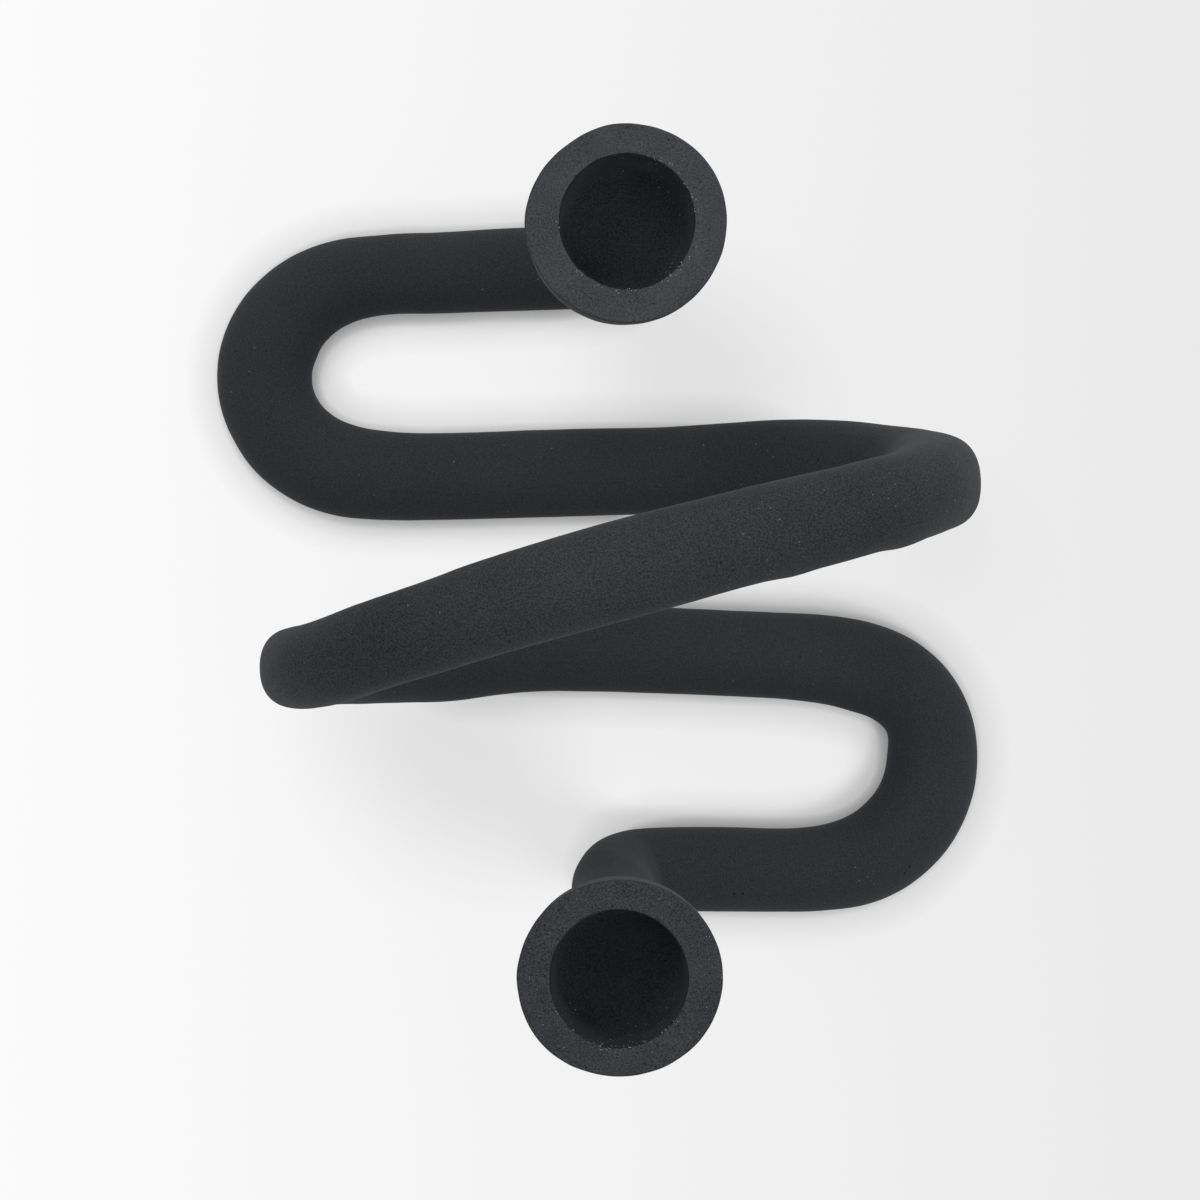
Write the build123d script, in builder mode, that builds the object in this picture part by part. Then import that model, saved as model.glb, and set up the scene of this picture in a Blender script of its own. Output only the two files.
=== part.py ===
# Spiral candle holder: one clay coil that snakes over the table, stands up in a tall loop across
# its middle and ends in two upright cups. The coil is built from five lengths that are cut at a
# slant and luted end to end, and each cup is luted over the top of a riser.
# Millimetres, +Z up, +X right, +Y to the rear. The origin is on the table, at the outline's middle.
from build123d import *
from math import radians, sqrt, tan
import os

# Coil
coil_diameter = 16.0
sole_depth = 0.8  # taken off the underside, where the coil lies on the table
scarf_angle = 45.0  # degrees between the slanted joint and the table
cut_overrun = 1.0

# Cups
cup_spacing = 126.6  # between the two cups' axes, front to rear
rear_cup_x = 4.9
front_cup_x = 4.0
rear_rim_height = 89.0
front_rim_height = 106.0
cup_diameter = 34.0
cup_height = 30.0
cup_wall_height = 14.0  # straight part of the outside, below the rim
foot_diameter = 20.0
bore_diameter = 23.0  # takes a 22 mm taper candle
cup_floor = 5.0  # clay left between the bore and the socket
socket_depth = 3.0  # how far a riser's end goes into the cup's foot
socket_clearance = 0.15
rim_edge_radius = 0.8
mouth_edge_radius = 0.5
bore_floor_radius = 1.5

# Floor loops, as places on the coil's axis
bend_reach = 62.85  # each bend's far point, left or right of the middle
rear_elbow_y = 61.9
rear_outer_bend_x = -41.0
rear_outer_bend_y = 60.3
rear_far_y = 41.4
rear_inner_bend_x = -42.0
rear_inner_bend_y = 22.3
rear_lift_x = 8.0  # where the arch leaves the table
rear_lift_y = 23.8
front_touch_x = -6.0  # where the arch comes back to the table
front_touch_y = -10.2
front_bend_x = 42.7
front_inner_bend_y = -11.3
front_far_y = -31.4
front_elbow_y = -51.7  # the outer run is square to the cups' line

# Risers
elbow_radius = 10.0
neck_radius = 40.0
neck_drop = 8.0  # from the cup's foot down to the riser's last bend

# Arch
arch_height = 114.0
arch_width = 128.0
arch_centre_x = 4.25
crown_y = 3.3
arch_right_y = 20.0
arch_left_y = -12.6
arch_right_lean_share = -0.12  # how far the right side leans forward as it rises

coil_radius = coil_diameter / 2
axis_height = coil_radius - sole_depth
crown_height = arch_height - coil_radius
waist_height = (axis_height + crown_height) / 2
arch_reach = arch_width / 2 - coil_radius
scarf_run = coil_radius / tan(radians(scarf_angle))
bore_depth = cup_height - cup_floor - socket_depth
rear_foot_height = rear_rim_height - cup_height
front_foot_height = front_rim_height - cup_height
rear_cup_y = cup_spacing / 2
front_cup_y = -cup_spacing / 2
up = Vector(0, 0, 1)

# Stations along the coil's axis, from the rear cup to the front one
rear_elbow = Vector(rear_cup_x, rear_elbow_y, axis_height)
rear_outer_bend = Vector(rear_outer_bend_x, rear_outer_bend_y, axis_height)
rear_far = Vector(-bend_reach, rear_far_y, axis_height)
rear_inner_bend = Vector(rear_inner_bend_x, rear_inner_bend_y, axis_height)
rear_lift = Vector(rear_lift_x, rear_lift_y, axis_height)
arch_right = Vector(arch_centre_x + arch_reach, arch_right_y, waist_height)
crown = Vector(arch_centre_x, crown_y, crown_height)
arch_left = Vector(arch_centre_x - arch_reach, arch_left_y, waist_height)
front_touch = Vector(front_touch_x, front_touch_y, axis_height)
front_inner_bend = Vector(front_bend_x, front_inner_bend_y, axis_height)
front_far = Vector(bend_reach, front_far_y, axis_height)
front_outer_bend = Vector(front_bend_x, front_elbow_y, axis_height)
front_elbow = Vector(front_cup_x, front_elbow_y, axis_height)

# Headings of the straight runs and of the arch
rear_outer_heading = (rear_outer_bend - rear_elbow).normalized()
rear_inner_heading = (rear_lift - rear_inner_bend).normalized()
front_inner_heading = (front_inner_bend - front_touch).normalized()
front_outer_heading = (front_elbow - front_outer_bend).normalized()
towards_front = Vector(0, -1, 0)
right_side_heading = Vector(0, arch_right_lean_share, 1).normalized()
crown_heading = (arch_left - arch_right).normalized()
left_side_heading = Vector(0, 0, -1)

# Joints, set back so that each slanted cut ends where its straight run does
rear_riser_joint = rear_elbow + rear_outer_heading * (elbow_radius + scarf_run)
rear_arch_joint = rear_lift - rear_inner_heading * scarf_run
front_arch_joint = front_touch + front_inner_heading * scarf_run
front_riser_joint = front_elbow - front_outer_heading * (elbow_radius + scarf_run)
lap = scarf_run + cut_overrun


def turn(start, start_heading, end, end_heading):
    # Two arcs, tangent to each other, that leave start and reach end along the given headings
    chord = end - start
    swing = 1 - start_heading.dot(end_heading)
    pull = chord.dot(start_heading + end_heading)
    reach = (sqrt(pull**2 + 2 * swing * chord.dot(chord)) - pull) / (2 * swing)
    first_corner = start + start_heading * reach
    last_corner = end - end_heading * reach
    middle = (first_corner + last_corner) * 0.5
    TangentArc(start, middle, tangent=start_heading)
    TangentArc(middle, end, tangent=last_corner - middle)


def roll_coil(route):
    # The coil along a route, with its underside cut flat on the table
    with BuildSketch(Plane(origin=route @ 0, z_dir=route % 0)) as section:
        Circle(coil_radius)
    sweep(section.sketch, path=route)
    split(bisect_by=Plane.XY, keep=Keep.TOP)


def cut_scarf(joint, loop_end_heading, keep_loop):
    # The slanted joint: a floor loop's end is a ramp, and what stands on it has the matching foot
    slope = loop_end_heading * tan(radians(scarf_angle)) + up
    waste = slope if keep_loop else slope * -1
    with Locations(Plane(origin=joint, z_dir=waste)):
        Box(
            2 * coil_diameter,
            2 * coil_diameter,
            2 * coil_diameter,
            align=(Align.CENTER, Align.CENTER, Align.MIN),
            mode=Mode.SUBTRACT,
        )


def write(piece, name):
    piece.part.label = name
    export_step(piece.part, f"parts/{name}.step")


os.makedirs("parts", exist_ok=True)

# Cups: turned shells with a round-bellied underside, a candle bore above and a socket below
cup_places = {
    "rear_cup": Vector(rear_cup_x, rear_cup_y, rear_rim_height),
    "front_cup": Vector(front_cup_x, front_cup_y, front_rim_height),
}
socket_radius = coil_radius + socket_clearance
for cup_name, rim_centre in cup_places.items():
    with BuildPart() as cup:
        with BuildSketch(Plane(origin=rim_centre, x_dir=(1, 0, 0), z_dir=(0, -1, 0))):
            with BuildLine():
                Polyline(
                    (cup_diameter / 2, -cup_wall_height),
                    (cup_diameter / 2, 0),
                    (bore_diameter / 2, 0),
                    (bore_diameter / 2, -bore_depth),
                    (0, -bore_depth),
                    (0, socket_depth - cup_height),
                    (socket_radius, socket_depth - cup_height),
                    (socket_radius, -cup_height),
                    (foot_diameter / 2, -cup_height),
                )
                TangentArc(
                    (cup_diameter / 2, -cup_wall_height),
                    (foot_diameter / 2, -cup_height),
                    tangent=(0, -1),
                )
            make_face()
        revolve(axis=Axis(rim_centre, up))
        rim = cup.faces().sort_by(Axis.Z)[-1]
        mouth_edge, rim_edge = rim.edges().sort_by(SortBy.RADIUS)
        bore_floor = cup.faces().filter_by(Plane.XY).sort_by(Axis.Z)[-2]
        fillet(bore_floor.edges(), bore_floor_radius)
        fillet(rim_edge, rim_edge_radius)
        fillet(mouth_edge, mouth_edge_radius)
    write(cup, cup_name)

# Risers: an elbow out of the floor run, a leaning shaft and a plumb end inside the cup's foot
with BuildPart() as rear_riser:
    with BuildLine() as rear_riser_route:
        FilletPolyline(
            rear_riser_joint + rear_outer_heading * lap,
            rear_elbow,
            (rear_cup_x, rear_cup_y, rear_foot_height - neck_drop),
            (rear_cup_x, rear_cup_y, rear_foot_height + socket_depth),
            radius=(elbow_radius, neck_radius),
        )
    roll_coil(rear_riser_route.line)
    cut_scarf(rear_riser_joint, rear_outer_heading * -1, keep_loop=False)
write(rear_riser, "rear_riser")

with BuildPart() as front_riser:
    with BuildLine() as front_riser_route:
        FilletPolyline(
            front_riser_joint - front_outer_heading * lap,
            front_elbow,
            (front_cup_x, front_cup_y, front_foot_height - neck_drop),
            (front_cup_x, front_cup_y, front_foot_height + socket_depth),
            radius=(elbow_radius, neck_radius),
        )
    roll_coil(front_riser_route.line)
    cut_scarf(front_riser_joint, front_outer_heading, keep_loop=False)
write(front_riser, "front_riser")

# Floor loops: two runs along the table with a hairpin bend between them
with BuildPart() as rear_loop:
    with BuildLine() as rear_loop_route:
        Line(rear_riser_joint - rear_outer_heading * lap, rear_outer_bend)
        turn(rear_outer_bend, rear_outer_heading, rear_far, towards_front)
        turn(rear_far, towards_front, rear_inner_bend, rear_inner_heading)
        Line(rear_inner_bend, rear_arch_joint + rear_inner_heading * lap)
    roll_coil(rear_loop_route.line)
    cut_scarf(rear_riser_joint, rear_outer_heading * -1, keep_loop=True)
    cut_scarf(rear_arch_joint, rear_inner_heading, keep_loop=True)
write(rear_loop, "rear_loop")

with BuildPart() as front_loop:
    with BuildLine() as front_loop_route:
        Line(front_arch_joint - front_inner_heading * lap, front_inner_bend)
        turn(front_inner_bend, front_inner_heading, front_far, towards_front)
        turn(front_far, towards_front, front_outer_bend, front_outer_heading)
        Line(front_outer_bend, front_riser_joint + front_outer_heading * lap)
    roll_coil(front_loop_route.line)
    cut_scarf(front_arch_joint, front_inner_heading * -1, keep_loop=True)
    cut_scarf(front_riser_joint, front_outer_heading, keep_loop=True)
write(front_loop, "front_loop")

# Arch: one tall turn of the coil that crosses from the rear loop to the front one
with BuildPart() as arch:
    with BuildLine() as arch_route:
        Line(rear_arch_joint - rear_inner_heading * lap, rear_lift)
        turn(rear_lift, rear_inner_heading, arch_right, right_side_heading)
        turn(arch_right, right_side_heading, crown, crown_heading)
        turn(crown, crown_heading, arch_left, left_side_heading)
        turn(arch_left, left_side_heading, front_touch, front_inner_heading)
        Line(front_touch, front_arch_joint + front_inner_heading * lap)
    roll_coil(arch_route.line)
    cut_scarf(rear_arch_joint, rear_inner_heading, keep_loop=False)
    cut_scarf(front_arch_joint, front_inner_heading * -1, keep_loop=False)
write(arch, "arch")
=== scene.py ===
# Spiral candle holder in black stoneware, seen from straight above on a pale table
import math
import bmesh
import bpy
from mathutils import Matrix, Vector, noise


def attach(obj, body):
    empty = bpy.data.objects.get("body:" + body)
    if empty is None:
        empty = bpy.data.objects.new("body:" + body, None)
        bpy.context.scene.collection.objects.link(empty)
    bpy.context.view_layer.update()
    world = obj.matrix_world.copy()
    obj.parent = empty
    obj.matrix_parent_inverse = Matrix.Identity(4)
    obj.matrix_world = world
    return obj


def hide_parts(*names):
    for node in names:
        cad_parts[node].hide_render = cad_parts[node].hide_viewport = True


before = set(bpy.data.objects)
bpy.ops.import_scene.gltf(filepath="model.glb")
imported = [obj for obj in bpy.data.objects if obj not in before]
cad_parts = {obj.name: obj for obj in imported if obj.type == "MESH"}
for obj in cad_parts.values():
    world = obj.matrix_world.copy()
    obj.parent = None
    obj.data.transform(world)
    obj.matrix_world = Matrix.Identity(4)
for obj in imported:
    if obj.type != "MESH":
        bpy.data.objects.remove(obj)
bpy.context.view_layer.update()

mm = 0.001


def linear(hexColour):
    paintedShades = [int(hexColour[i:i + 2], 16) / 255 for i in (1, 3, 5)]
    return [s / 12.92 if s <= 0.04045 else ((s + 0.055) / 1.055) ** 2.4 for s in paintedShades] + [1.0]


def clamp(share):
    return min(1.0, max(0.0, share))


def addNode(tree, kind, inputs=None, **settings):
    node = tree.nodes.new(kind)
    for name, value in settings.items():
        setattr(node, name, value)
    for key, value in (inputs or {}).items():
        if isinstance(value, bpy.types.NodeSocket):
            tree.links.new(value, node.inputs[key])
        else:
            node.inputs[key].default_value = value
    return node


def newMaterial(name):
    material = bpy.data.materials.new(name)
    material.use_nodes = True
    material.node_tree.nodes.clear()
    return material, material.node_tree


def addObject(name, content):
    thing = bpy.data.objects.new(name, content)
    bpy.context.scene.collection.objects.link(thing)
    return thing


def clayPiece(name, work, materials):
    # A worked shape, turned into a plain mesh in its clays
    bmesh.ops.recalc_face_normals(work, faces=work.faces[:])
    mesh = bpy.data.meshes.new(name)
    work.to_mesh(mesh)
    work.free()
    for material in materials:
        mesh.materials.append(material)
    return addObject(name, mesh)


def seenRays(tree):
    # 1 for what the eye sees, straight, mirrored or through glass, and 0 for light on its way
    rays = addNode(tree, "ShaderNodeLightPath").outputs
    mirrored = addNode(tree, "ShaderNodeMath", {
        0: rays["Is Glossy Ray"], 1: rays["Is Transmission Ray"]}, operation="MAXIMUM").outputs[0]
    return addNode(tree, "ShaderNodeMath", {
        0: rays["Is Camera Ray"], 1: mirrored}, operation="MAXIMUM").outputs[0]


# Black stoneware, rolled by hand and fired bare: a dry dark skin with fine sand in it, which
# pales a little where it turns away from the eye
coilClay = {
    "name": "blackStonewareRolled",
    "dark": "#191a1c", "light": "#3d3f42", "sand": "#63656a", "pit": "#151618",
    "grainMm": 0.32, "mottleMm": 16.0, "mottle": 0.15, "sharpness": 0.22,
    "sandMm": 0.62, "sandShare": 0.01, "gritShare": 0.18, "pitMm": 1.3, "pitShare": 0.018,
    "biteMm": 0.08, "roughness": 0.88, "specular": 0.12, "sheen": 0.03,
}
# The rear rim, sanded flat once the clay was dry: the palest part, fine and even
rimClay = {
    "name": "blackStonewareSanded",
    "dark": "#242528", "light": "#505154", "sand": "#8e9094", "pit": "#1d1e20",
    "grainMm": 0.27, "mottleMm": 6.0, "mottle": 0.2, "sharpness": 0.27,
    "sandMm": 0.42, "sandShare": 0.003, "gritShare": 1.3, "pitMm": 0.9, "pitShare": 0.04,
    "biteMm": 0.07, "roughness": 0.9, "specular": 0.11, "sheen": 0.02,
}
# The front rim, sanded less: a shade darker, with a deeper bite and more torn pits in it
coarseRimClay = {
    "name": "blackStonewareRubbed",
    "dark": "#191a1c", "light": "#48494c", "sand": "#808286", "pit": "#151617",
    "grainMm": 0.27, "mottleMm": 6.0, "mottle": 0.2, "sharpness": 0.22,
    "sandMm": 0.42, "sandShare": 0.008, "gritShare": 0.9, "pitMm": 0.8, "pitShare": 0.08,
    "biteMm": 0.16, "roughness": 0.9, "specular": 0.11, "sheen": 0.02,
}
# Inside the bore: left as it was cut, the dullest part, its skin painted blackest as shade inside
# the bore, with pale grit where its lip crumbled and painted light that pales it towards the bottom
paintedShadeBoreClay = {
    "name": "blackStonewareBore",
    "dark": "#121315", "light": "#2c2d30", "sand": "#b4b6b8", "pit": "#0f1012",
    # Pale tones of the painted light towards the bottom of the bore
    "paintedLightDark": "#2b3033", "paintedLightPale": "#5c6266",
    "grainMm": 0.33, "mottleMm": 8.0, "mottle": 0.3, "sharpness": 0.26,
    "sandMm": 0.4, "sandShare": 0.0, "gritShare": 0.7, "pitMm": 1.3, "pitShare": 0.0,
    "biteMm": 0.09, "roughness": 0.95, "specular": 0.06, "sheen": 0.01,
}
# What the four clays share: how a spot of sand or a pit is drawn and stands, and the dry skin
bareSkin = {
    "spotCore": 0.12, "spotEdge": 0.3, "sandRise": 0.4, "pitRise": -0.9, "bump": 0.9,
    "noiseLayers": 2.0, "grainRoughness": 0.6, "roughnessSwing": 0.06,
    "ior": 1.5, "diffuseRoughness": 0.5, "sheenRoughness": 0.3,
}
# Low down the coil was rubbed smooth as it was bent on the table: less grain and sand show there
rubbing = {"lowMm": 18.0, "highMm": 60.0, "lowShare": 0.52}


def makeClay(clay):
    material, tree = newMaterial(clay["name"])
    place = addNode(tree, "ShaderNodeTexCoord").outputs["Object"]
    grain = addNode(tree, "ShaderNodeTexNoise", {
        "Vector": place, "Scale": 1 / (clay["grainMm"] * mm), "Detail": bareSkin["noiseLayers"],
        "Roughness": bareSkin["grainRoughness"]}).outputs["Fac"]
    mottle = addNode(tree, "ShaderNodeTexNoise", {
        "Vector": place, "Scale": 1 / (clay["mottleMm"] * mm),
        "Detail": bareSkin["noiseLayers"]}).outputs["Fac"]
    height = addNode(tree, "ShaderNodeSeparateXYZ", {0: place}).outputs["Z"]
    bareness = addNode(tree, "ShaderNodeMapRange", {
        "Value": height, "From Min": rubbing["lowMm"] * mm, "From Max": rubbing["highMm"] * mm,
        "To Min": rubbing["lowShare"]}).outputs["Result"]
    # Sand and pits: a few of the cells of a scattered pattern, each drawn as a small round spot.
    # A pit is sunk by the bump and painted darker, as painted shade in its hollow.
    # More sand shows where the surface is marked as crumbled or scuffed
    crumbled = addNode(tree, "ShaderNodeAttribute", attribute_name="grit").outputs["Fac"]
    sandShare = addNode(tree, "ShaderNodeMath", {
        0: crumbled, 1: clay["gritShare"], 2: clay["sandShare"]},
        operation="MULTIPLY_ADD").outputs[0]
    spots = {}
    for kind, share in (("sand", sandShare), ("pit", clay["pitShare"])):
        cells = addNode(tree, "ShaderNodeTexVoronoi", {
            "Vector": place, "Scale": 1 / (clay[kind + "Mm"] * mm)}).outputs
        dot = addNode(tree, "ShaderNodeMapRange", {
            "Value": cells["Distance"], "From Min": bareSkin["spotCore"],
            "From Max": bareSkin["spotEdge"], "To Min": 1.0, "To Max": 0.0}).outputs["Result"]
        pick = addNode(tree, "ShaderNodeSeparateColor", {"Color": cells["Color"]}).outputs["Green"]
        bareShare = addNode(tree, "ShaderNodeMath", {
            0: bareness, 1: share}, operation="MULTIPLY").outputs[0]
        keep = addNode(tree, "ShaderNodeMath", {
            0: pick, 1: bareShare}, operation="LESS_THAN").outputs[0]
        spots[kind] = addNode(tree, "ShaderNodeMath", {
            0: dot, 1: keep}, operation="MULTIPLY").outputs[0]
    # Tone: grain and mottle swing about their average, less where the clay was rubbed, and about
    # a middle made paler by painted light and darker by painted shade at the given places
    tone = addNode(tree, "ShaderNodeMath", {
        0: mottle, 1: clay["mottle"], 2: grain}, operation="MULTIPLY_ADD").outputs[0]
    average = 0.5 + 0.5 * clay["mottle"]
    swing = addNode(tree, "ShaderNodeMapRange", {
        "Value": tone, "From Min": average - clay["sharpness"],
        "From Max": average + clay["sharpness"], "To Min": -0.5, "To Max": 0.5}).outputs["Result"]
    firing = addNode(tree, "ShaderNodeAttribute", attribute_name="firing").outputs["Fac"]
    middle = addNode(tree, "ShaderNodeMath", {0: firing, 1: 0.5}).outputs[0]
    toneShare = addNode(tree, "ShaderNodeMath", {
        0: swing, 1: bareness, 2: middle}, operation="MULTIPLY_ADD").outputs[0]
    skin = addNode(tree, "ShaderNodeMix", {
        "Factor": toneShare, 6: linear(clay["dark"]), 7: linear(clay["light"])},
        data_type="RGBA").outputs[2]
    # Painted light: the bore's skin is paled towards its bottom
    if "paintedLightDark" in clay:
        paintedLightMask = addNode(tree, "ShaderNodeAttribute", attribute_name="paintedLight").outputs["Fac"]
        paintedLight = addNode(tree, "ShaderNodeMix", {
            "Factor": toneShare, 6: linear(clay["paintedLightDark"]), 7: linear(clay["paintedLightPale"])},
            data_type="RGBA").outputs[2]
        skin = addNode(tree, "ShaderNodeMix", {
            "Factor": paintedLightMask, 6: skin, 7: paintedLight}, data_type="RGBA").outputs[2]
    relief = grain
    for kind in ("sand", "pit"):
        skin = addNode(tree, "ShaderNodeMix", {
            "Factor": spots[kind], 6: skin, 7: linear(clay[kind])}, data_type="RGBA").outputs[2]
        relief = addNode(tree, "ShaderNodeMath", {
            0: spots[kind], 1: bareSkin[kind + "Rise"], 2: relief},
            operation="MULTIPLY_ADD").outputs[0]
    bump = addNode(tree, "ShaderNodeBump", {
        "Strength": bareSkin["bump"], "Distance": clay["biteMm"] * mm,
        "Height": relief}).outputs["Normal"]
    roughness = addNode(tree, "ShaderNodeMapRange", {
        "Value": grain, "To Min": clay["roughness"] - bareSkin["roughnessSwing"],
        "To Max": clay["roughness"] + bareSkin["roughnessSwing"]}).outputs["Result"]
    shader = addNode(tree, "ShaderNodeBsdfPrincipled", {
        "Base Color": skin, "Roughness": roughness, "Normal": bump, "IOR": bareSkin["ior"],
        "Specular IOR Level": clay["specular"], "Diffuse Roughness": bareSkin["diffuseRoughness"],
        "Sheen Weight": clay["sheen"], "Sheen Roughness": bareSkin["sheenRoughness"]})
    addNode(tree, "ShaderNodeOutputMaterial", {"Surface": shader.outputs["BSDF"]})
    return material


coilMaterial = makeClay(coilClay)
paintedShadeBoreMaterial = makeClay(paintedShadeBoreClay)
rimMaterials = {"sanded": makeClay(rimClay), "rubbed": makeClay(coarseRimClay)}
print("clay materials ready")

# The coil, as places on its axis from the rear cup to the front one: x, y, z and thickness, in mm
coil = {
    "stations": [
        (5.05, 63.3, 62.0, 15.6), (5.0, 63.3, 50.0, 15.5), (4.9, 62.8, 34.0, 15.6),
        (4.8, 62.1, 18.5, 15.8), (2.0, 61.85, 10.0, 15.8), (-6.5, 61.55, 7.1, 15.6),
        (-18.0, 61.1, 7.1, 15.6), (-30.0, 60.6, 6.8, 15.2), (-41.0, 60.2, 6.6, 14.8),
        (-49.7, 58.35, 7.2, 15.9), (-56.6, 54.1, 7.7, 16.9), (-61.0, 48.0, 8.1, 17.9),
        (-62.6, 40.3, 8.1, 17.8), (-60.3, 32.5, 8.0, 17.5), (-55.15, 26.85, 8.0, 17.5),
        (-48.05, 23.45, 7.9, 17.3), (-40.1, 22.35, 7.5, 16.7), (-28.0, 22.2, 7.3, 16.3),
        (-14.0, 22.65, 7.4, 16.4), (0.0, 23.0, 7.4, 16.5), (12.0, 23.4, 7.7, 16.4),
        (24.0, 24.05, 9.6, 16.4), (34.0, 24.5, 13.8, 16.4), (44.0, 24.15, 20.8, 16.4),
        (51.5, 23.0, 29.4, 16.4), (57.4, 21.7, 41.0, 16.6), (59.75, 20.1, 57.0, 16.7),
        (58.0, 18.7, 68.5, 16.3), (53.4, 16.8, 80.0, 15.9), (45.7, 14.75, 89.6, 15.8),
        (35.0, 12.0, 97.7, 16.0), (24.0, 9.3, 102.6, 16.2), (7.3, 4.9, 105.8, 16.8),
        (-2.0, 2.35, 105.6, 16.6), (-16.5, -1.9, 102.4, 16.0), (-29.0, -6.0, 96.2, 15.6),
        (-37.8, -8.8, 89.0, 15.2), (-45.0, -11.3, 80.0, 15.0), (-50.6, -12.7, 68.0, 14.6),
        (-52.5, -13.0, 57.0, 14.4), (-51.4, -12.8, 46.0, 14.8), (-47.4, -12.4, 35.5, 15.2),
        (-40.8, -12.4, 25.0, 15.5), (-33.8, -12.2, 17.4, 15.8), (-27.0, -11.8, 12.4, 16.2),
        (-20.0, -10.8, 9.4, 16.4), (-12.0, -10.05, 7.8, 16.5), (-2.0, -9.95, 7.4, 16.5),
        (10.0, -10.4, 7.3, 16.3), (22.0, -10.9, 7.2, 16.0), (34.0, -11.45, 7.3, 16.2),
        (42.0, -12.1, 7.5, 16.6), (49.5, -13.5, 7.7, 17.0), (56.95, -16.7, 7.5, 16.4),
        (62.1, -22.8, 7.3, 15.8), (63.05, -31.1, 7.8, 17.0), (61.35, -38.8, 7.9, 17.3),
        (56.9, -45.1, 8.0, 17.5), (50.4, -49.5, 7.7, 17.0), (42.9, -51.4, 7.2, 16.0),
        (34.9, -51.85, 7.0, 15.5), (25.0, -51.7, 7.2, 15.9), (14.0, -51.7, 7.3, 16.0),
        (6.85, -51.93, 9.85, 15.85), (3.48, -53.25, 18.5, 15.4), (3.3, -56.3, 33.0, 15.05),
        (3.55, -60.0, 50.0, 15.1), (3.85, -63.1, 65.0, 15.2), (3.95, -63.85, 72.0, 15.3),
        (3.95, -63.95, 79.0, 15.5),
    ],
    "curveSteps": 40, "ringSpacing": 0.6, "ringSides": 120, "easing": 14, "soleSoftness": 0.5,
    # Unevenness of the roll: how long each kind of lump is, and how far it stands in and out
    "lumps": {
        "Sway": (26.0, 0.5), "Finger": (9.0, 0.16), "Skin": (2.6, 0.06), "Sand": (1.1, 0.03),
    },
    "lumpLayers": 1.0, "seed": 4.0,
    # The arch's two ends, patted a little square: place, reach and how far the corners fill out
    "patted": {
        "Left end": ((-52.5, -12.7, 57.0), 26.0, 0.06),
        "Right end": ((59.75, 20.1, 57.0), 22.0, 0.07),
    },
    # Knuckles that stand out of the roll: place, reach and height
    "knuckles": {
        "Arch knuckle": ((32.6, 3.2, 98.5), 6.0, 0.3),
        "End knuckle": ((51.3, 8.2, 82.5), 8.0, 0.35),
    },
    # Scuffs that let pale sand show: place, reach and how strong
    "scuffs": {
        "Bend scuff": ((50.2, -53.5, 15.5), 5.0, 1.0),
        "Run scuff": ((44.0, -11.3, 15.5), 5.0, 1.0),
        "Arch scuff": ((30.0, 8.5, 107.5), 9.0, 1.0),
        # The end scuff's pale sand is partly a painted highlight along the rear edge of the arch's
        # right end
        "End scuff and highlight": ((57.5, 25.5, 72.0), 6.0, 1.0),
    },
    # Painted light and shade: place, reach and how much paler (painted light) or darker (painted
    # shade) the clay is there
    "paintedLightShade": {
        "Crown tone": ((-1.0, 2.6, 113.5), 36.0, 0.1),
        "Left arm tone": ((-38.0, -9.0, 96.5), 22.0, -0.11),
        "Right arm tone": ((44.5, 14.5, 97.5), 18.0, -0.11),
        "Leg tone": ((43.5, 24.0, 28.5), 16.0, 0.14),
        "Bend tone": ((42.0, -12.0, 15.8), 15.0, 0.12),
    },
}


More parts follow.
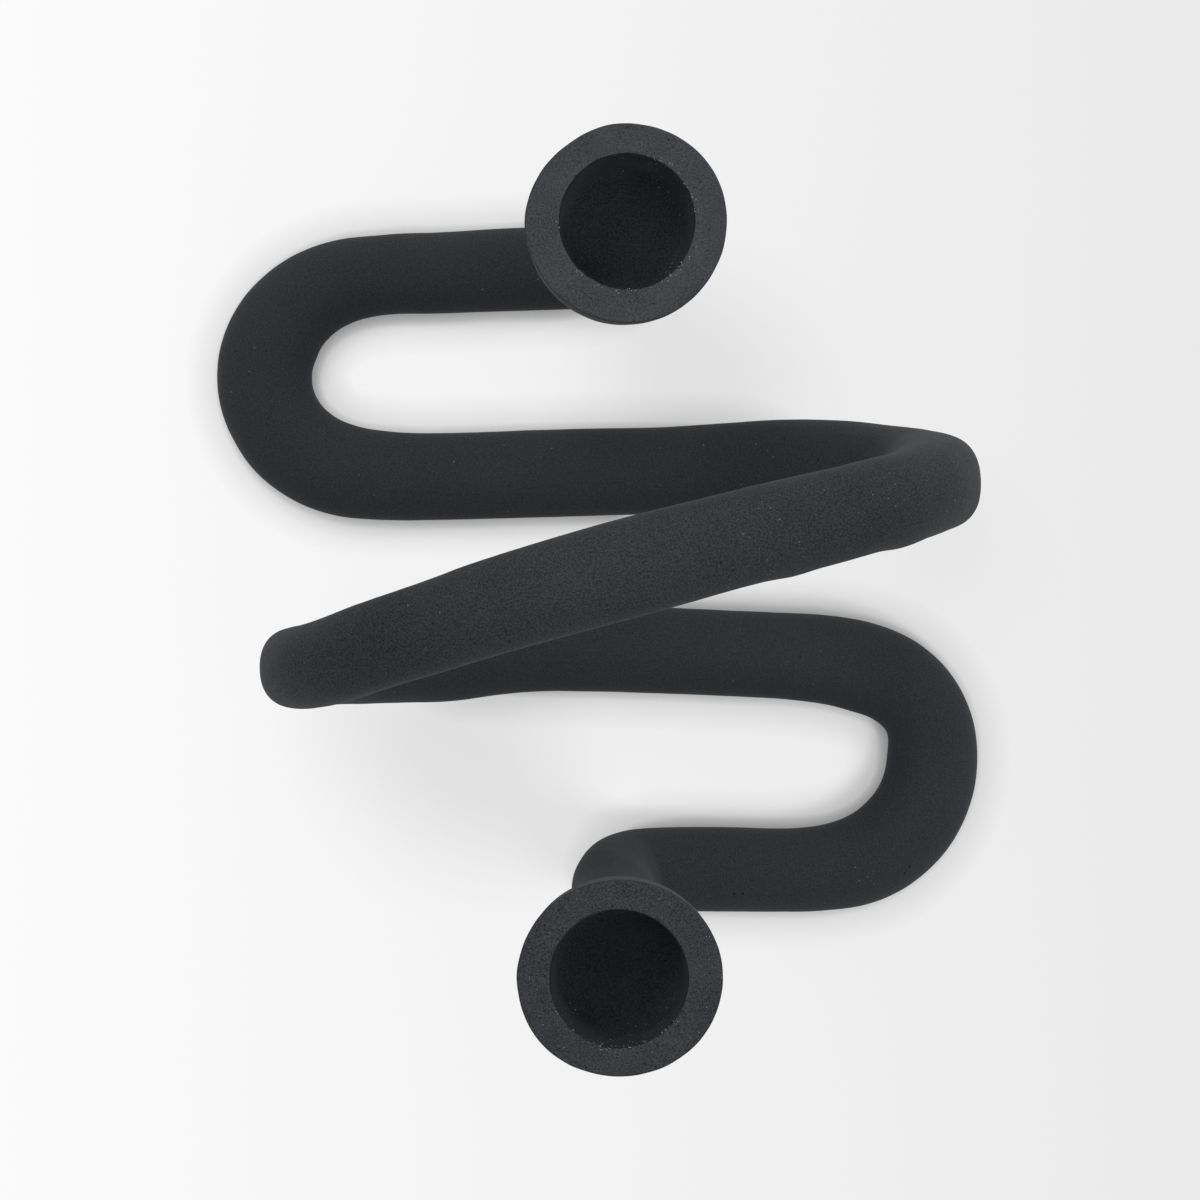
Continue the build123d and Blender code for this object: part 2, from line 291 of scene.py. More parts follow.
def coilTree(sizes, settings):
    tree = bpy.data.node_groups.new("rolledCoil", "GeometryNodeTree")
    tree.is_modifier = True
    tree.interface.new_socket("Stations", in_out="INPUT", socket_type="NodeSocketGeometry")
    for name, (kind, value) in settings.items():
        tree.interface.new_socket(name, in_out="INPUT", socket_type=kind)
    tree.interface.new_socket("Coil", in_out="OUTPUT", socket_type="NodeSocketGeometry")
    given = addNode(tree, "NodeGroupInput").outputs
    place = addNode(tree, "GeometryNodeInputPosition").outputs[0]

    def fadesFrom(where, names, total=None):
        # Each named amount, whole at its place and gone at its reach, added to the total
        for name in names:
            away = addNode(tree, "ShaderNodeVectorMath", {
                0: where, 1: given[name + " place"]}, operation="DISTANCE").outputs["Value"]
            amount = addNode(tree, "ShaderNodeMapRange", {
                "Value": away, "From Max": given[name + " reach"],
                "To Min": given[name + " amount"], "To Max": 0.0},
                interpolation_type="SMOOTHSTEP").outputs["Result"]
            if total is None:
                total = amount
            else:
                total = addNode(tree, "ShaderNodeMath", {0: total, 1: amount}).outputs[0]
        return total

    # A round roll along a smooth line through the stations, as thick as they say
    line = addNode(tree, "GeometryNodeMeshToCurve", {"Mesh": given["Stations"]}).outputs[0]
    bent = addNode(tree, "GeometryNodeCurveSplineType", {
        "Curve": line}, spline_type="BEZIER").outputs[0]
    handled = addNode(tree, "GeometryNodeCurveSetHandles", {
        "Curve": bent}, handle_type="AUTO").outputs[0]
    fine = addNode(tree, "GeometryNodeSetSplineResolution", {
        "Geometry": handled, "Resolution": sizes["curveSteps"]}).outputs[0]
    stepped = addNode(tree, "GeometryNodeResampleCurve", {
        "Curve": fine, "Length": given["Ring spacing"]}, mode="LENGTH").outputs[0]
    easedPlace = addNode(tree, "GeometryNodeBlurAttribute", {
        "Value": place, "Iterations": given["Easing"]}, data_type="FLOAT_VECTOR").outputs[0]
    eased = addNode(tree, "GeometryNodeSetPosition", {
        "Geometry": stepped, "Position": easedPlace}).outputs[0]
    thickness = addNode(tree, "GeometryNodeInputNamedAttribute", {
        "Name": "thickness"}, data_type="FLOAT").outputs[0]
    easedThickness = addNode(tree, "GeometryNodeBlurAttribute", {
        "Value": thickness, "Iterations": given["Easing"]}, data_type="FLOAT").outputs[0]
    halved = addNode(tree, "ShaderNodeMath", {
        0: easedThickness, 1: 0.5}, operation="MULTIPLY").outputs[0]
    along = addNode(tree, "GeometryNodeSplineParameter").outputs["Length"]
    measured = addNode(tree, "GeometryNodeStoreNamedAttribute", {
        "Geometry": eased, "Name": "along", "Value": along},
        data_type="FLOAT", domain="POINT").outputs[0]
    centred = addNode(tree, "GeometryNodeStoreNamedAttribute", {
        "Geometry": measured, "Name": "axis", "Value": place},
        data_type="FLOAT_VECTOR", domain="POINT").outputs[0]
    ring = addNode(tree, "GeometryNodeCurvePrimitiveCircle", {
        "Resolution": given["Ring sides"], "Radius": 1.0}).outputs[0]
    rolled = addNode(tree, "GeometryNodeCurveToMesh", {
        "Curve": centred, "Profile Curve": ring, "Scale": halved, "Fill Caps": True}).outputs[0]
    # The patted ends: the corners between left or right and front or rear are pushed out from the
    # axis. Their share is a quarter at most, so four of it is whole
    axis = addNode(tree, "GeometryNodeInputNamedAttribute", {
        "Name": "axis"}, data_type="FLOAT_VECTOR").outputs[0]
    spoke = addNode(tree, "ShaderNodeVectorMath", {
        0: place, 1: axis}, operation="SUBTRACT").outputs[0]
    sides = addNode(tree, "ShaderNodeSeparateXYZ", {0: spoke}).outputs
    crossed = addNode(tree, "ShaderNodeMath", {
        0: sides["X"], 1: sides["Y"]}, operation="MULTIPLY").outputs[0]
    spokeSquare = addNode(tree, "ShaderNodeVectorMath", {
        0: spoke, 1: spoke}, operation="DOT_PRODUCT").outputs["Value"]
    cornerShare = addNode(tree, "ShaderNodeMath", {
        0: crossed, 1: spokeSquare}, operation="DIVIDE").outputs[0]
    corner = addNode(tree, "ShaderNodeMath", {
        0: cornerShare, 1: cornerShare}, operation="MULTIPLY").outputs[0]
    cornerPush = addNode(tree, "ShaderNodeMath", {
        0: fadesFrom(axis, sizes["patted"]), 1: corner}, operation="MULTIPLY").outputs[0]
    wholePush = addNode(tree, "ShaderNodeMath", {
        0: cornerPush, 1: 4.0}, operation="MULTIPLY").outputs[0]
    pushed = addNode(tree, "ShaderNodeVectorMath", {
        0: spoke, "Scale": wholePush}, operation="SCALE").outputs[0]
    patted = addNode(tree, "GeometryNodeSetPosition", {
        "Geometry": rolled, "Offset": pushed}).outputs[0]
    # Lumps of the hand roll at several sizes, and the knuckles
    rise = None
    for name in sizes["lumps"]:
        scale = addNode(tree, "ShaderNodeMath", {
            0: 1.0, 1: given[name + " size"]}, operation="DIVIDE").outputs[0]
        wave = addNode(tree, "ShaderNodeTexNoise", {
            "Vector": place, "W": given["Seed"], "Scale": scale, "Detail": sizes["lumpLayers"]},
            noise_dimensions="4D").outputs[0]
        level = addNode(tree, "ShaderNodeMath", {
            0: wave, 1: 0.5}, operation="SUBTRACT").outputs[0]
        lump = addNode(tree, "ShaderNodeMath", {
            0: level, 1: given[name + " depth"]}, operation="MULTIPLY").outputs[0]
        if rise is None:
            rise = lump
        else:
            rise = addNode(tree, "ShaderNodeMath", {0: rise, 1: lump}).outputs[0]
    outward = addNode(tree, "ShaderNodeVectorMath", {
        0: addNode(tree, "GeometryNodeInputNormal").outputs[0],
        "Scale": fadesFrom(place, sizes["knuckles"], rise)}, operation="SCALE").outputs[0]
    lumpy = addNode(tree, "GeometryNodeSetPosition", {
        "Geometry": patted, "Offset": outward}).outputs[0]
    # The underside is pressed flat where the coil lies on the table
    axes = addNode(tree, "ShaderNodeSeparateXYZ", {0: place}).outputs
    floored = addNode(tree, "ShaderNodeMath", {
        0: axes["Z"], 1: 0.0, 2: given["Sole softness"]}, operation="SMOOTH_MAX").outputs[0]
    flat = addNode(tree, "ShaderNodeCombineXYZ", {
        "X": axes["X"], "Y": axes["Y"], "Z": floored}).outputs[0]
    marked = addNode(tree, "GeometryNodeSetPosition", {
        "Geometry": lumpy, "Position": flat}).outputs[0]
    # Scuffed places and places of painted light and shade, for the material
    for mark, names in (("grit", sizes["scuffs"]), ("firing", sizes["paintedLightShade"])):
        marked = addNode(tree, "GeometryNodeStoreNamedAttribute", {
            "Geometry": marked, "Name": mark, "Value": fadesFrom(place, names)},
            data_type="FLOAT", domain="POINT").outputs[0]
    plain = addNode(tree, "GeometryNodeRemoveAttribute", {
        "Geometry": marked, "Name": "axis"}).outputs[0]
    smooth = addNode(tree, "GeometryNodeSetShadeSmooth", {"Geometry": plain}).outputs[0]
    realised = addNode(tree, "GeometryNodeRealizeInstances", {"Geometry": smooth}).outputs[0]
    painted = addNode(tree, "GeometryNodeSetMaterial", {
        "Geometry": realised, "Material": given["Clay"]}).outputs[0]
    addNode(tree, "NodeGroupOutput", {"Coil": painted})
    return tree


def rollCoil(sizes, material):
    stations = bpy.data.meshes.new("coilStations")
    points = [Vector(s[:3]) * mm for s in sizes["stations"]]
    stations.from_pydata(points, [(i, i + 1) for i in range(len(points) - 1)], [])
    thickness = stations.attributes.new("thickness", "FLOAT", "POINT")
    for i, station in enumerate(sizes["stations"]):
        thickness.data[i].value = station[3] * mm
    carrier = addObject("coilStations", stations)
    settings = {
        "Ring spacing": ("NodeSocketFloat", sizes["ringSpacing"] * mm),
        "Ring sides": ("NodeSocketInt", sizes["ringSides"]),
        "Easing": ("NodeSocketInt", sizes["easing"]),
        "Sole softness": ("NodeSocketFloat", sizes["soleSoftness"] * mm),
        "Seed": ("NodeSocketFloat", sizes["seed"]),
        "Clay": ("NodeSocketMaterial", material),
    }
    for name, (size, depth) in sizes["lumps"].items():
        settings[name + " size"] = ("NodeSocketFloat", size * mm)
        settings[name + " depth"] = ("NodeSocketFloat", depth * mm)
    # A knuckle's height is in mm, the other amounts are shares
    for kind, unit in (("patted", 1.0), ("knuckles", mm), ("scuffs", 1.0), ("paintedLightShade", 1.0)):
        for name, (place, reach, amount) in sizes[kind].items():
            settings[name + " place"] = ("NodeSocketVector", Vector(place) * mm)
            settings[name + " reach"] = ("NodeSocketFloat", reach * mm)
            settings[name + " amount"] = ("NodeSocketFloat", amount * unit)
    tree = coilTree(sizes, settings)
    roller = carrier.modifiers.new("rolledCoil", "NODES")
    roller.node_group = tree
    for item in tree.interface.items_tree:
        if item.in_out == "INPUT" and item.name in settings:
            roller[item.identifier] = settings[item.name][1]
    graph = bpy.context.evaluated_depsgraph_get()
    mesh = bpy.data.meshes.new_from_object(carrier.evaluated_get(graph))
    carrier.modifiers.clear()
    bpy.data.objects.remove(carrier)
    return mesh


# Slanted joints between the lengths: place in mm, and the way that the floor loop's end points
joints = {
    "rearRiser": ((-13.1, 61.2, 7.2), (1.0, 0.035)),
    "rearArch": ((0.0, 23.0, 7.2), (1.0, 0.03)),
    "frontArch": ((2.0, -10.0, 7.2), (-1.0, 0.0)),
    "frontRiser": ((22.0, -51.7, 7.2), (-1.0, 0.0)),
}
# What is left beyond a joint to cut through, and how near the cut counts as on it
cutting = {"roomMm": 22.0, "knifeMm": 0.001, "onCutMm": 0.01}


def cutLength(whole, name, start, end, loop):
    # One length of the coil, with its ends cut on the slanted joints and closed
    work = bmesh.new()
    work.from_mesh(whole)
    along = work.verts.layers.float["along"]
    room = cutting["roomMm"] * mm
    cuts = {}
    for key in (start, end):
        if key is None:
            continue
        place, heading = joints[key]
        point = Vector(place) * mm
        reach = min(work.verts, key=lambda v: (v.co - point).length)[along]
        slope = Vector((heading[0], heading[1], 1.0)).normalized()
        cuts[key] = (point, slope if loop else -slope, reach)
    low = -math.inf if start is None else cuts[start][2] - room
    high = math.inf if end is None else cuts[end][2] + room
    waste = [f for f in work.faces
             if not low <= sum(v[along] for v in f.verts) / len(f.verts) <= high]
    bmesh.ops.delete(work, geom=waste, context="FACES")
    for point, outward, reach in cuts.values():
        faces = [f for f in work.faces if abs(f.verts[0][along] - reach) < 2 * room]
        nearby = set(faces)
        for face in faces:
            nearby.update(face.verts)
            nearby.update(face.edges)
        bmesh.ops.bisect_plane(
            work, geom=list(nearby), dist=cutting["knifeMm"] * mm,
            plane_co=point, plane_no=outward, clear_outer=True)
        onCut = cutting["onCutMm"] * mm
        rimEdges = [e for e in work.edges if e.is_boundary
                    and all(abs((v.co - point).dot(outward)) < onCut for v in e.verts)]
        cap = bmesh.ops.edgeloop_fill(work, edges=rimEdges)
        for sharp in cap["faces"] + rimEdges:
            sharp.smooth = False
    return clayPiece(name, work, [coilMaterial])


litClay = bpy.data.collections.new("litClay")
litTable = bpy.data.collections.new("litTable")
wholeCoil = rollCoil(coil, coilMaterial)
print("coil rolled:", len(wholeCoil.polygons), "faces")
lengths = {
    "rearRiserClay": (None, "rearRiser", False, "rear_riser"),
    "rearLoopClay": ("rearRiser", "rearArch", True, "rear_loop"),
    "archClay": ("rearArch", "frontArch", False, "arch"),
    "frontLoopClay": ("frontArch", "frontRiser", True, "front_loop"),
    "frontRiserClay": ("frontRiser", None, False, "front_riser"),
}
for name, (start, end, isLoop, node) in lengths.items():
    piece = cutLength(wholeCoil, name, start, end, isLoop)
    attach(piece, "root")
    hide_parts(node)
    litClay.objects.link(piece)
    print("length cut:", name, len(piece.data.polygons), "faces")
bpy.data.meshes.remove(wholeCoil)

# Cups, turned and then trimmed: rim and bore as seen from above, heights below the rim, all in mm
cups = {
    "rearCupClay": {
        "node": "rear_cup", "finish": "sanded", "seed": 3.0, "leanX": 1.6, "leanY": 0.0,
        "rim": (5.1, 63.32, 89.0), "rimSpan": (34.3, 34.1),
        # Painted light in the bore: its share in the middle of the floor and in the corner
        "bore": (5.22, 63.53), "boreSpan": 22.85, "paintedLight": (0.36, 0.54), "rough": 0.02,
        # Hand trimming of the outside: angle from the right, mm in or out, degrees that it reaches
        "trims": [(125, -0.45, 22), (32, 0.2, 22), (80, -0.1, 15), (182, 0.18, 14),
                  (300, 0.14, 18)],
        # Crumbled stretches of the lip: angle, degrees that it reaches, strength
        "crumbled": [(60, 11, 0.8), (95, 8, 0.3), (18, 10, 0.7), (316, 8, 1.5), (270, 6, 0.9),
                     (250, 6, 0.6), (226, 9, 0.6), (187, 6, 0.3)],
        # Torn pits in the rim: place from the rim's middle, width and depth in mm
        "pits": [(-15.4, 4.2, 0.5, 0.25), (-14.6, 6.0, 0.4, 0.2), (9.5, -11.2, 0.4, 0.2)],
    },
    "frontCupClay": {
        "node": "front_cup", "finish": "rubbed", "seed": 8.0, "leanX": -0.4, "leanY": 0.6,
        "rim": (3.95, -63.95, 106.0), "rimSpan": (34.4, 32.7),
        "bore": (3.75, -64.1), "boreSpan": 22.85, "paintedLight": (0.06, 0.4), "rough": 0.12,
        "trims": [(225, 0.38, 26), (285, 0.2, 38), (155, -0.08, 14)],
        "crumbled": [(212, 6, 0.5), (226, 6, 0.6), (258, 10, 1.0), (277, 9, 0.9), (295, 5, 0.7),
                     (310, 7, 0.8), (326, 6, 0.5)],
        "pits": [(0.8, 15.4, 0.5, 0.3), (1.5, 14.0, 0.6, 0.35), (0.6, 14.7, 0.4, 0.2),
                 (-7.1, 10.3, 0.5, 0.25), (-7.4, 9.0, 0.4, 0.2), (5.6, 13.2, 0.4, 0.2),
                 (12.4, 7.2, 0.4, 0.2), (-13.0, -5.0, 0.4, 0.2), (9.6, -10.8, 0.4, 0.2),
                 (-4.0, 14.2, 0.4, 0.2)],
    },
}
# What the two cups share, in mm
cupForm = {
    "height": 30.0, "wall": 14.0, "draft": 0.42, "foot": 10.0, "rimRound": 0.45,
    "boreDepth": 22.0, "boreFloor": 10.8, "floorRound": 2.2, "mouthRound": 0.22, "lip": 2.6,
    "socket": 8.05, "socketDepth": 3.0,
    # The luting: how far it runs down the riser, how hollow its curve is, the radius where it
    # ends and its grip there, and how far down it lets go of the riser and of the socket
    "luting": 4.5, "hollow": 2.2, "neck": 7.45, "grip": 0.15, "gripShare": 0.35,
    "socketShare": 0.2,
    # Steps along the turned section and round it
    "steps": {
        "floor": 0.8, "corner": 0.3, "wall": 0.7, "lip": 0.2, "mouth": 0.15, "rim": 0.3,
        "edge": 0.12, "grip": 0.5, "socket": 1.2,
    },
    "neckSteps": 14, "sides": 320, "pole": 0.001,
    # Waves of the hand in the clay: how long, which draw of the noise, and how far in and out
    "waves": {
        "sway": (13.0, 1, 0.08), "skin": (3.1, 2, 0.06), "swell": (5.0, 4, 0.05),
        "floor": (4.5, 4, 0.25), "tear": (0.8, 3, 1.0), "drop": (1.1, 5, 1.0),
        "rough": (1.2, 6, 1.0),
    },
    # The waves fade towards the axis, and the oval towards the neck
    "rootRadius": 6.0, "ovalEase": 4.0,
    # Tearing of the lip: everywhere and where it crumbled, how much of it, and how far out and down
    "tear": 0.1, "crumble": 0.3, "tearShare": 0.35, "tearOut": 0.7, "tearDown": 0.5,
    # Grit on the rim's inner edge and down the bore's wall, and painted light that pales the bore
    # towards its bottom
    "gritReach": 1.1, "crumbs": 0.3, "crumbEdge": 1.0, "floorEdge": 0.5, "paintedLightCurve": 1.3,
}


def cupProfile(form, rimRadius, boreRadius):
    # Radius, height below the rim and finish along the turned section, from the bore's floor
    # round to the socket
    points = [(form["pole"], -form["boreDepth"], "bore")]
    steps = form["steps"]

    def run(end, step, finish):
        radius, height = points[-1][:2]
        across, up = end[0] - radius, end[1] - height
        count = max(1, round(math.hypot(across, up) / step))
        for i in range(1, count + 1):
            share = i / count
            points.append((radius + across * share, height + up * share, finish))

    def bend(centre, size, first, last, step, finish):
        count = max(2, round(abs(math.radians(last - first)) * size / step))
        for i in range(1, count + 1):
            angle = math.radians(first + (last - first) * i / count)
            points.append((centre[0] + size * math.cos(angle),
                           centre[1] + size * math.sin(angle), finish))

    floorRound = form["floorRound"]
    mouthRound = form["mouthRound"]
    rimRound = form["rimRound"]
    floorCorner = form["boreFloor"] - floorRound
    rimCorner = (rimRadius - rimRound, -rimRound)
    run((floorCorner, -form["boreDepth"]), steps["floor"], "bore")
    bend((floorCorner, floorRound - form["boreDepth"]), floorRound, -90, 0, steps["corner"], "bore")
    run((boreRadius, -mouthRound - form["lip"]), steps["wall"], "bore")
    run((boreRadius, -mouthRound), steps["lip"], "lip")
    bend((boreRadius + mouthRound, -mouthRound), mouthRound, 180, 90, steps["mouth"], "lip")
    run((rimRadius - rimRound, 0), steps["rim"], "rim")
    bend(rimCorner, rimRound, 90, 45, steps["edge"], "rim")
    bend(rimCorner, rimRound, 45, 0, steps["edge"], "wall")
    waist = rimRadius - form["draft"]
    run((waist, -form["wall"]), steps["wall"], "wall")
    # The belly: an arc that leaves the wall plumb and reaches the foot
    across = waist - form["foot"]
    down = form["height"] - form["wall"]
    belly = (across ** 2 + down ** 2) / (2 * across)
    turn = math.degrees(math.asin(min(1.0, down / belly)))
    bend((waist - belly, -form["wall"]), belly, 0, -turn, steps["wall"], "wall")
    # The luted neck: a hollow curve of slip from the foot, which thins out and grips the riser
    footRadius, footHeight = points[-1][:2]
    for i in range(1, form["neckSteps"] + 1):
        share = i / form["neckSteps"]
        thinned = (footRadius - form["neck"]) * (1 - share) ** form["hollow"]
        points.append((form["neck"] + thinned, footHeight - form["luting"] * share, "wall"))
    inner = form["neck"] - form["grip"]
    socketTop = form["socketDepth"] - form["height"]
    run((inner, points[-1][1]), steps["grip"], "wall")
    run((inner, footHeight - form["luting"] * form["gripShare"]), steps["wall"], "wall")
    run((form["socket"], footHeight - form["luting"] * form["socketShare"]), steps["wall"], "wall")
    run((form["socket"], socketTop), steps["socket"], "wall")
    run((form["pole"], socketTop), steps["socket"], "wall")
    return points


def turnCup(name, cup, form):
    rimRadius = cup["rimSpan"][0] / 2
    boreRadius = cup["boreSpan"] / 2
    profile = cupProfile(form, rimRadius, boreRadius)
    sides = form["sides"]
    squash = cup["rimSpan"][1] / cup["rimSpan"][0]
    rim = Vector(cup["rim"])
    boreShift = Vector((cup["bore"][0] - rim.x, cup["bore"][1] - rim.y, 0))
    leanRight = Matrix.Rotation(math.radians(cup["leanX"]), 3, "Y")
    lean = leanRight @ Matrix.Rotation(math.radians(cup["leanY"]), 3, "X")
    seed = Vector((cup["seed"] * 7, cup["seed"] * 3, 0))
    middlePaintedLight, cornerPaintedLight = cup["paintedLight"]
    work = bmesh.new()
    gritLayer = work.verts.layers.float.new("grit")
    paintedLightLayer = work.verts.layers.float.new("paintedLight")

    def around(degrees, centre, width):
        return math.exp(-(((degrees - centre + 180) % 360 - 180) / width) ** 2)

    def wave(kind, spot):
        size, draw, depth = form["waves"][kind]
        return depth * noise.noise(spot / size + seed * draw)

    rings = []
    for radius, height, finish in profile:
        ring = []
        # Share of the way from bore to outside, so that an off-centre bore eases into the rim
        outside = clamp((radius - boreRadius) / (rimRadius - boreRadius))
        if finish == "wall":
            outside = 1.0
        rooted = clamp(radius / form["rootRadius"])
        # Grit on the lip and just over the rim's inner edge, with a few crumbs down the bore's wall
        gritty = 0.0
        if finish == "lip" or finish == "rim" and radius < boreRadius + form["gritReach"]:
            gritty = 1.0
        elif finish == "bore" and radius > form["boreFloor"] - form["crumbEdge"]:
            gritty = form["crumbs"]
        # Painted light, deep in the bore and most in the corner round its floor
        deep = clamp(-height / form["boreDepth"]) ** form["paintedLightCurve"]
        cornered = clamp(radius / form["boreFloor"])
        paintedLightAmount = deep * (middlePaintedLight + (cornerPaintedLight - middlePaintedLight) * cornered)
        # The lean is whole down to the wall's end and gone at the foot, which stays on the riser
        leaning = clamp((height + form["height"]) / (form["height"] - form["wall"]))
        ovalShare = outside * clamp((radius - form["neck"]) / form["ovalEase"])
        oval = 1 + (squash - 1) * ovalShare
        for j in range(sides):
            degrees = 360 * j / sides
            spoke = Vector((math.cos(math.radians(degrees)), math.sin(math.radians(degrees)), 0))
            spot = spoke * radius + Vector((0, 0, height))
            crumble = max(strength * around(degrees, centre, width)
                          for centre, width, strength in cup["crumbled"])
            trim = sum(depth * around(degrees, centre, width)
                       for centre, depth, width in cup["trims"])
            grown = radius + trim * outside * min(1.0, radius / rimRadius)
            grown += wave("sway", spot) * rooted
            grown += wave("skin", spot) * rooted
            lift = wave("swell", spot)
            if finish == "lip":
                torn = form["tear"] + form["crumble"] * crumble
                grown += torn * max(0.0, form["tearShare"] + wave("tear", spot)) * form["tearOut"]
                lift -= torn * max(0.0, wave("drop", spot)) * form["tearDown"]
            if finish == "bore" and radius < form["boreFloor"] - form["floorEdge"]:
                lift = wave("floor", spot)
            flat = Vector((spoke.x * grown, spoke.y * grown * oval, height + lift))
            if finish == "rim":
                flat.z += cup["rough"] * wave("rough", spot)
                for x, y, width, depth in cup["pits"]:
                    away = (flat.x - x) ** 2 + (flat.y - y) ** 2
                    flat.z -= depth * math.exp(-away / (width / 2) ** 2)
            flat += boreShift * (1 - outside)
            vert = work.verts.new((rim + flat.lerp(lean @ flat, leaning)) * mm)
            vert[gritLayer] = crumble * gritty
            vert[paintedLightLayer] = paintedLightAmount if finish in ("lip", "bore") else 0.0
            ring.append(vert)
        rings.append(ring)
    finishes = ("wall", "rim", "lip", "bore")
    for low, high, (radius, height, finish) in zip(rings, rings[1:], profile[1:]):
        for j in range(sides):
            k = (j + 1) % sides
            face = work.faces.new((low[j], high[j], high[k], low[k]))
            face.smooth = True
            face.material_index = finishes.index(finish)
    for ring in (rings[0], rings[-1]):
        middle = sum((v.co for v in ring), Vector()) / sides
        bmesh.ops.pointmerge(work, verts=ring, merge_co=middle)
    rimMaterial = rimMaterials[cup["finish"]]
    return clayPiece(name, work, [coilMaterial, rimMaterial, paintedShadeBoreMaterial, paintedShadeBoreMaterial])


for name, cup in cups.items():
    piece = turnCup(name, cup, cupForm)
    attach(piece, "root")
    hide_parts(cup["node"])
    litClay.objects.link(piece)
    print("cup turned:", name, len(piece.data.polygons), "faces")

# Table: a pale sheet, with painted light making it a little brighter to the left. The eye sees it
# mostly in its own tone, with painted shade close beside the clay, so that wide shadows stay faint,
# and the clay gets its plain bounced light. Far off it fades into the surround
table = {
    "size": 30.0, "middleSize": 0.8, "reachMm": 114.0, "nearMm": 220.0, "farMm": 1100.0,
    "left": "#fefefe", "middle": "#f1f1f1", "right": "#e2e2e2", "far": "#f3f3f3",
    "paper": "#ededed", "ownTone": 0.64,
    # Painted shade close beside the clay: how far it reaches in mm, and how deep it is
    "paintedShades": {"core": (4.2, 2.0), "tail": (9.0, 0.7)}, "shadeSamples": 8,
}


def makeTable(sizes):
    material, tree = newMaterial("paleTableSheet")
    place = addNode(tree, "ShaderNodeTexCoord").outputs["Object"]
    axes = addNode(tree, "ShaderNodeSeparateXYZ", {0: place}).outputs
    # Painted light: the sheet's own tone is brighter to the left
    acrossShare = addNode(tree, "ShaderNodeMapRange", {
        "Value": axes["X"], "From Min": -sizes["reachMm"] * mm,
        "From Max": sizes["reachMm"] * mm}).outputs["Result"]
    ramp = addNode(tree, "ShaderNodeValToRGB", {"Fac": acrossShare})
    ramp.color_ramp.elements[0].color = linear(sizes["left"])
    ramp.color_ramp.elements[1].color = linear(sizes["right"])
    ramp.color_ramp.elements.new(0.5).color = linear(sizes["middle"])
    away = addNode(tree, "ShaderNodeVectorMath", {0: place}, operation="LENGTH").outputs["Value"]
    farShare = addNode(tree, "ShaderNodeMapRange", {
        "Value": away, "From Min": sizes["nearMm"] * mm, "From Max": sizes["farMm"] * mm},
        interpolation_type="SMOOTHSTEP").outputs["Result"]
    faded = addNode(tree, "ShaderNodeMix", {
        "Factor": farShare, 6: ramp.outputs["Color"], 7: linear(sizes["far"])},
        data_type="RGBA").outputs[2]
    # Painted shade: the sheet's own tone darkens close beside the clay, where less of the surround
    # is open
    paintedShades = []
    for reach, depth in sizes["paintedShades"].values():
        openSky = addNode(tree, "ShaderNodeAmbientOcclusion", {
            "Distance": reach * mm}, samples=sizes["shadeSamples"]).outputs["AO"]
        paintedShades.append(addNode(tree, "ShaderNodeMath", {
            0: openSky, 1: depth}, operation="POWER").outputs[0])
    shaded = addNode(tree, "ShaderNodeMath", {
        0: paintedShades[0], 1: paintedShades[1]}, operation="MULTIPLY").outputs[0]
    tone = addNode(tree, "ShaderNodeEmission", {"Color": faded, "Strength": shaded})
    paper = addNode(tree, "ShaderNodeBsdfDiffuse", {"Color": linear(sizes["paper"])})
    ownShare = addNode(tree, "ShaderNodeMapRange", {
        "Value": farShare, "To Min": sizes["ownTone"]}).outputs["Result"]
    amount = addNode(tree, "ShaderNodeMath", {
        0: seenRays(tree), 1: ownShare}, operation="MULTIPLY").outputs[0]
    shader = addNode(tree, "ShaderNodeMixShader", {
        "Fac": amount, 1: paper.outputs["BSDF"], 2: tone.outputs["Emission"]})
    addNode(tree, "ShaderNodeOutputMaterial", {"Surface": shader.outputs["Shader"]})
    # A small field in the middle, so that the sheet is exact where the holder stands
    half = sizes["size"] / 2
    middleHalf = sizes["middleSize"] / 2
    lines = (-half, -middleHalf, middleHalf, half)
    count = len(lines)
    corners = [(x, y, 0) for y in lines for x in lines]
    fields = [(i, i + 1, i + count + 1, i + count)
              for i in range(count * (count - 1)) if i % count < count - 1]
    mesh = bpy.data.meshes.new("paleTable")
    mesh.from_pydata(corners, [], fields)
    mesh.materials.append(material)
    sheet = addObject("paleTable", mesh)
    return sheet


litTable.objects.link(makeTable(table))

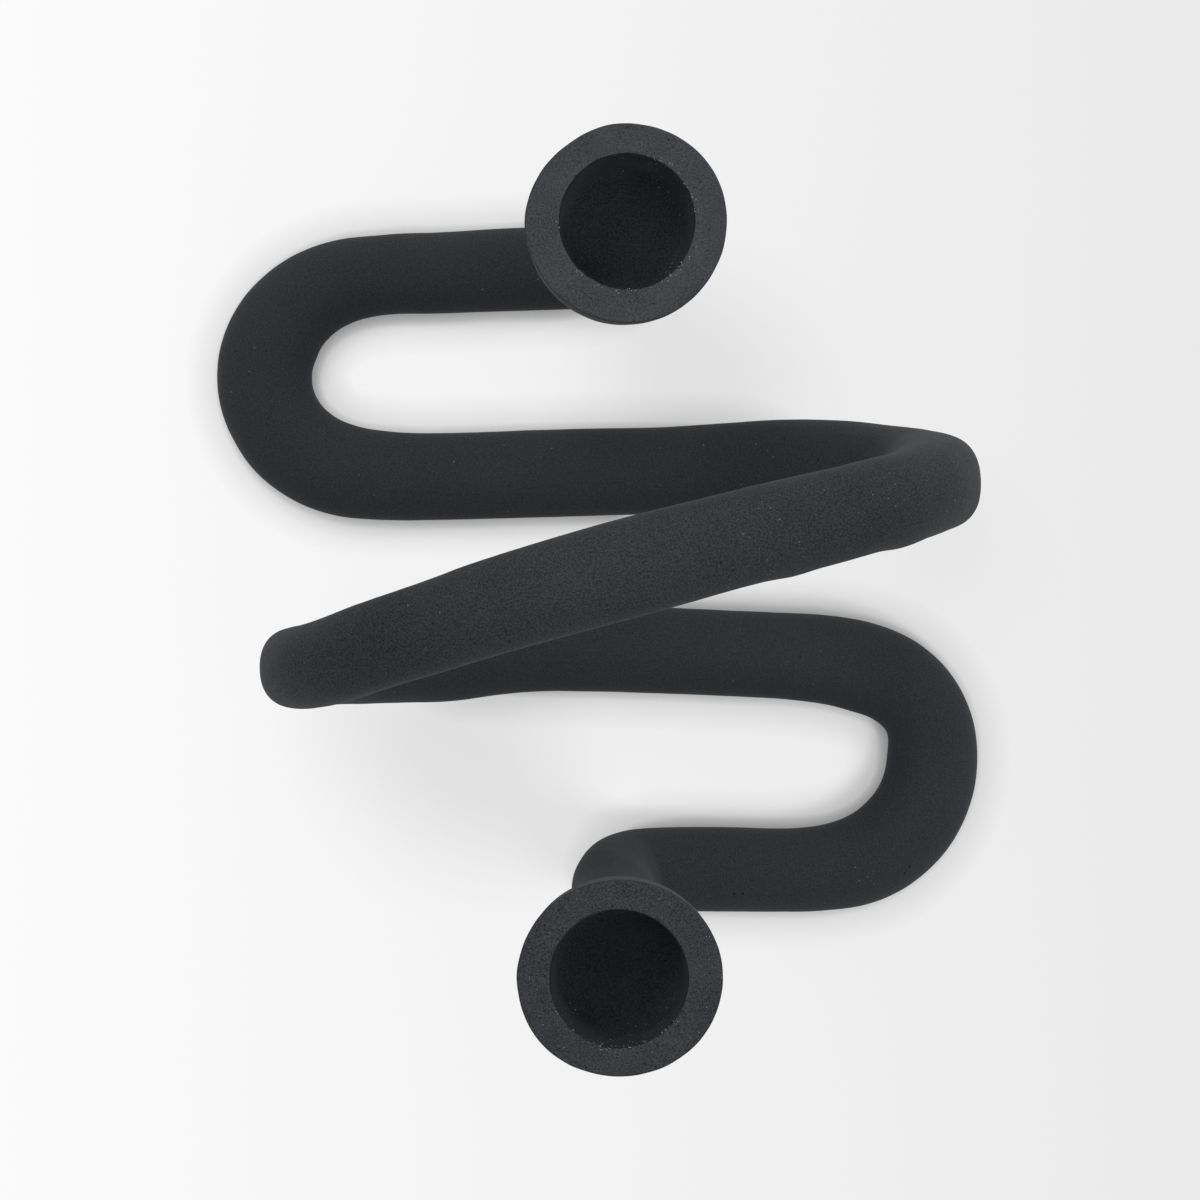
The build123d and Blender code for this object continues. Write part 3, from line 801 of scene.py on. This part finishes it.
# Light: high soft boxes to the front and the rear, a wider one to the right, faint ones behind,
# in the left rear corner and to the left, and a pale surround. The clay and the table each have
# their own boxes, and each of the table's boxes is shaded by one part of the holder
lamps = {
    "surround": 0.2, "seenSurround": 0.9,
    # The way to each box from the holder, its distance and width in m, and its level: a level of
    # 1 lights a flat white sheet just to white
    "clayBoxes": {
        "softBoxFront": ((30, -36, 100), 1.4, 0.68, 0.21),
        "softBoxRear": ((-13, 26, 80), 1.4, 0.68, 0.255),
        "softBoxRight": ((62, 8, 62), 1.6, 0.9, 0.2),
        "softBoxBehind": ((10, 80, 45), 1.6, 0.9, 0.065),
        "softBoxCorner": ((-60, 60, 60), 1.6, 0.9, 0.09),
        "softBoxLeft": ((-50, -12, 80), 1.6, 0.9, 0.055),
    },
    "tableBoxes": {
        "tableBoxFront": ((30, -36, 100), 1.4, 0.34, 0.41),
        "tableBoxRear": ((-13, 26, 80), 1.4, 0.42, 0.36),
        "tableBoxAbove": ((-12, 17, 100), 1.4, 0.42, 0.14),
    },
    "shadedBy": {
        "tableBoxFront": ("frontCupClay", "frontRiserClay", "frontLoopClay"),
        "tableBoxRear": ("rearCupClay", "rearRiserClay", "rearLoopClay"),
        "tableBoxAbove": ("archClay",),
    },
}
world = bpy.data.worlds.new("whiteSurround")
bpy.context.scene.world = world
world.use_nodes = True
world.node_tree.nodes.clear()
surroundLevel = addNode(world.node_tree, "ShaderNodeMapRange", {
    "Value": seenRays(world.node_tree), "To Min": lamps["surround"],
    "To Max": lamps["seenSurround"]}).outputs["Result"]
surround = addNode(world.node_tree, "ShaderNodeBackground", {
    "Color": (1, 1, 1, 1), "Strength": surroundLevel})
addNode(world.node_tree, "ShaderNodeOutputWorld", {"Surface": surround.outputs[0]})
for boxes, lit in ((lamps["clayBoxes"], litClay), (lamps["tableBoxes"], litTable)):
    for name, (way, distance, width, level) in boxes.items():
        toward = Vector(way).normalized()
        light = bpy.data.lights.new(name, "AREA")
        light.shape = "DISK"
        light.size = width
        spread = distance ** 2 + (width / 2) ** 2
        light.energy = level * math.pi ** 2 * spread / toward.z
        lamp = addObject(name, light)
        lamp.location = toward * distance
        lamp.rotation_euler = toward.to_track_quat("Z", "Y").to_euler()
        lamp.light_linking.receiver_collection = lit
        if name in lamps["shadedBy"]:
            shaders = bpy.data.collections.new(name + "Shaders")
            for shader in lamps["shadedBy"][name]:
                shaders.objects.link(bpy.data.objects[shader])
            lamp.light_linking.blocker_collection = shaders

# Camera: straight down from 870 mm, a little right of and before the middle
view = {"place": (0.6, -1.0, 870.0), "lens": 137.52, "sensor": 36.0}
lens = bpy.data.cameras.new("portraitCamera")
lens.lens = view["lens"]
lens.sensor_width = view["sensor"]
lens.sensor_fit = "HORIZONTAL"
camera = addObject("portraitCamera", lens)
camera.location = Vector(view["place"]) * mm
bpy.context.scene.camera = camera
bpy.context.scene.view_settings.view_transform = "Standard"
print("table, lamps and camera set")
